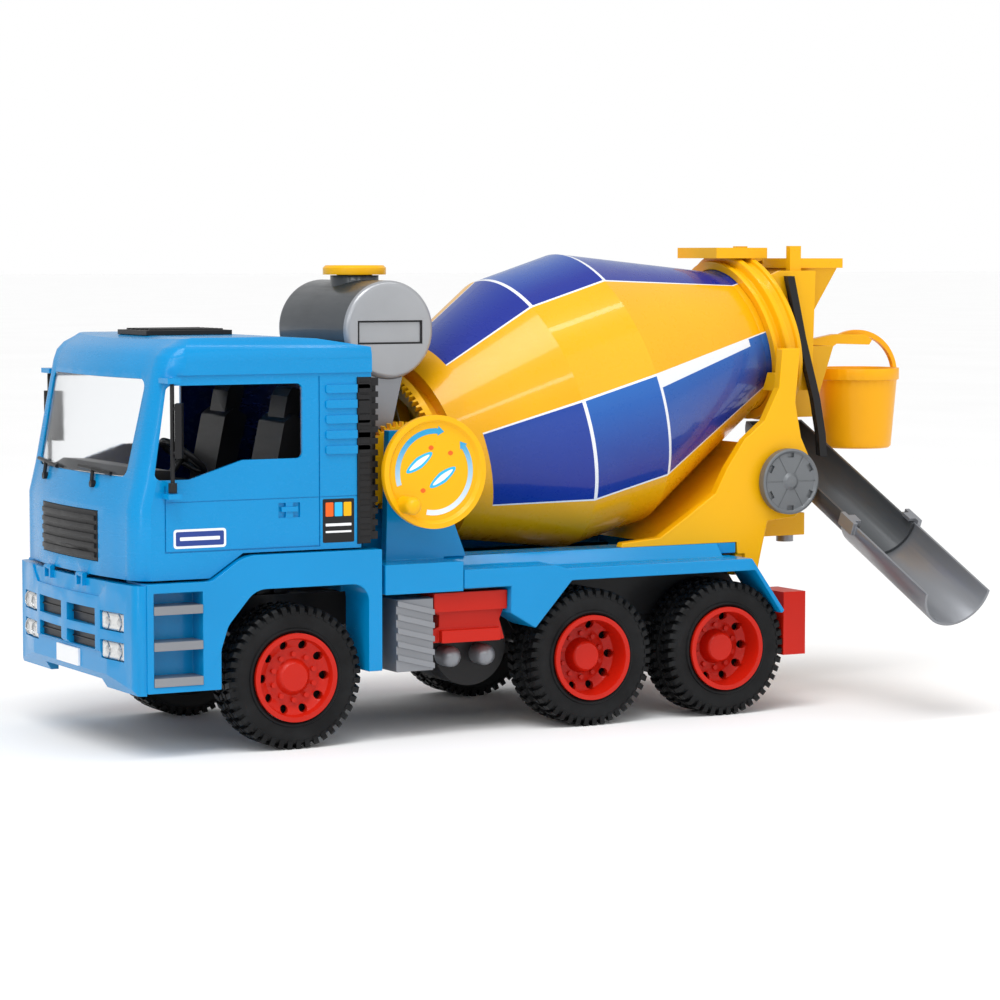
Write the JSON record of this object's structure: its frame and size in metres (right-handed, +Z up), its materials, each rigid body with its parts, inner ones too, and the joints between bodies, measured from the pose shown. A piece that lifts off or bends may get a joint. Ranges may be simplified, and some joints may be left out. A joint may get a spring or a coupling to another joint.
{
  "type": "toy cement mixer truck",
  "caption": "Toy cement mixer truck with tilting cab, turning drum geared to a hand wheel, hopper, swinging chute and hanging bucket.",
  "frame": {"origin": "on the ground under the middle of the truck's overall box, the chute swung to its near side included", "axes": "+X towards the truck's rear, +Y towards its far side, away from the hand wheel, +Z up"},
  "size_m": [0.523, 0.2614, 0.257],
  "materials": {
    "body_blue": "smooth moulded plastic, satin gloss",
    "drum_yellow": "smooth moulded plastic, gloss",
    "drum_panels": "yellow moulding with printed blue panels",
    "silver_plastic": "metallic grey moulded plastic",
    "black_plastic": "fine-grained moulded plastic",
    "red_plastic": "smooth moulded plastic",
    "tyre_black": "ribbed soft plastic",
    "clear_pane": "clear moulded pane",
    "lamp_clear": "faceted clear lamp with bright bowl",
    "steel": "drawn rod",
    "plate_white": "blank printed label"
  },
  "bodies": {
    "truck": {"chassis_frame": "black_plastic", "engine_block": "black_plastic", "front_bumper": "body_blue", "headlights": "lamp_clear", "number_plate": "plate_white", "fender_steps": "body_blue", "step_treads": "silver_plastic", "mufflers": "silver_plastic", "side_boxes": "red_plastic", "fuel_tanks": "silver_plastic", "air_tanks": "silver_plastic", "rear_deck": "body_blue", "rear_bumper": "red_plastic", "pedestal": "body_blue", "tank_cradle": "silver_plastic", "tank_shell": "silver_plastic", "rear_frame": "drum_yellow", "mouth_collar": "drum_yellow", "hopper": "drum_yellow", "discharge_funnel": "drum_yellow", "ladder": "black_plastic", "bucket_hanger": "drum_yellow"},
    "cab": {"cab_shell": "body_blue", "windscreen": "clear_pane", "front_grille": "black_plastic", "roof_hatch": "black_plastic", "cab_back_panel": "black_plastic", "seats": "black_plastic", "dashboard": "black_plastic", "steering_wheel": "black_plastic", "wipers": "black_plastic"},
    "left_mirror": {"mirror_left": "black_plastic"},
    "right_mirror": {"mirror_right": "black_plastic"},
    "tank_lid": {"tank_cap": "drum_yellow"},
    "drum": {"drum_front": "drum_yellow", "drum_belt": "drum_panels", "drum_rear": "drum_panels", "drum_spindle": "steel", "crown_gear": "drum_yellow", "mixing_blades": "black_plastic"},
    "crank": {"hand_wheel": "drum_yellow", "crank_shaft": "steel", "pinion": "drum_yellow"},
    "front_wheels": {"front_axle": "steel", "front_tyres": "tyre_black", "front_rims": "red_plastic"},
    "middle_wheels": {"middle_axle": "steel", "middle_tyres": "tyre_black", "middle_rims": "red_plastic"},
    "rear_wheels": {"rear_axle": "steel", "rear_tyres": "tyre_black", "rear_rims": "red_plastic"},
    "knobs": {"side_knobs": "silver_plastic", "knob_shaft": "silver_plastic"},
    "chute_turntable": {"swivel_post": "silver_plastic", "tilt_pin": "steel"},
    "chute": {"chute_upper": "silver_plastic"},
    "chute_extension": {"chute_lower": "silver_plastic"},
    "bail": {"bucket_bail": "drum_yellow"},
    "pail": {"bucket": "drum_yellow"}
  },
  "joints": [
    {"name": "cab_tilt", "type": "hinge", "parent": "truck", "child": "cab", "pos_m": [-0.2602, 0.0379, 0.0894], "axis": [0, -1, 0], "range_deg": [0, 50]},
    {"name": "left_mirror_fold", "type": "hinge", "parent": "cab", "child": "left_mirror", "pos_m": [-0.2355, -0.0476, 0.16], "axis": [0, 0, 1], "range_deg": [-60, 20]},
    {"name": "right_mirror_fold", "type": "hinge", "parent": "cab", "child": "right_mirror", "pos_m": [-0.2355, 0.1234, 0.16], "axis": [0, 0, -1], "range_deg": [-60, 20]},
    {"name": "tank_cap_lift", "type": "slide", "parent": "truck", "child": "tank_lid", "axis": [0, 0, 1], "range_m": [0, 0.025]},
    {"name": "drum_spin", "type": "hinge", "parent": "truck", "child": "drum", "pos_m": [0.012, 0.0379, 0.165], "axis": [0.9613, 0, 0.2756], "continuous": true},
    {"name": "hand_wheel_spin", "type": "hinge", "parent": "truck", "child": "crank", "pos_m": [-0.0897, -0.0421, 0.14], "axis": [0, 1, 0], "continuous": true},
    {"name": "front_wheel_roll", "type": "hinge", "parent": "truck", "child": "front_wheels", "pos_m": [-0.1665, 0.0379, 0.037], "axis": [0, 1, 0], "continuous": true},
    {"name": "middle_wheel_roll", "type": "hinge", "parent": "truck", "child": "middle_wheels", "pos_m": [0.008, 0.0379, 0.037], "axis": [0, 1, 0], "continuous": true},
    {"name": "rear_wheel_roll", "type": "hinge", "parent": "truck", "child": "rear_wheels", "pos_m": [0.093, 0.0379, 0.037], "axis": [0, 1, 0], "continuous": true},
    {"name": "side_knob_spin", "type": "hinge", "parent": "truck", "child": "knobs", "pos_m": [0.144, 0.0379, 0.126], "axis": [0, 1, 0], "continuous": true},
    {"name": "chute_swing", "type": "hinge", "parent": "truck", "child": "chute_turntable", "pos_m": [0.184, 0.0379, 0.1], "axis": [0, 0, 1], "range_deg": [0, 180]},
    {"name": "chute_tilt", "type": "hinge", "parent": "chute_turntable", "child": "chute", "pos_m": [0.184, 0.0379, 0.118], "axis": [1, 0, 0], "range_deg": [0, 12]},
    {"name": "chute_extend", "type": "slide", "parent": "chute", "child": "chute_extension", "axis": [0, 0.9063, 0.4226], "range_m": [0, 0.025]},
    {"name": "bail_unhook", "type": "slide", "parent": "truck", "child": "bail", "axis": [0, 1, 0], "range_m": [0, 0.04]},
    {"name": "bucket_swing", "type": "hinge", "parent": "bail", "child": "pail", "pos_m": [0.233, 0.0379, 0.182], "axis": [1, 0, 0], "range_deg": [-25, 25]}
  ],
  "couplings": [
    {"joint": "hand_wheel_spin", "follows": "drum_spin", "ratio": 2}
  ]
}
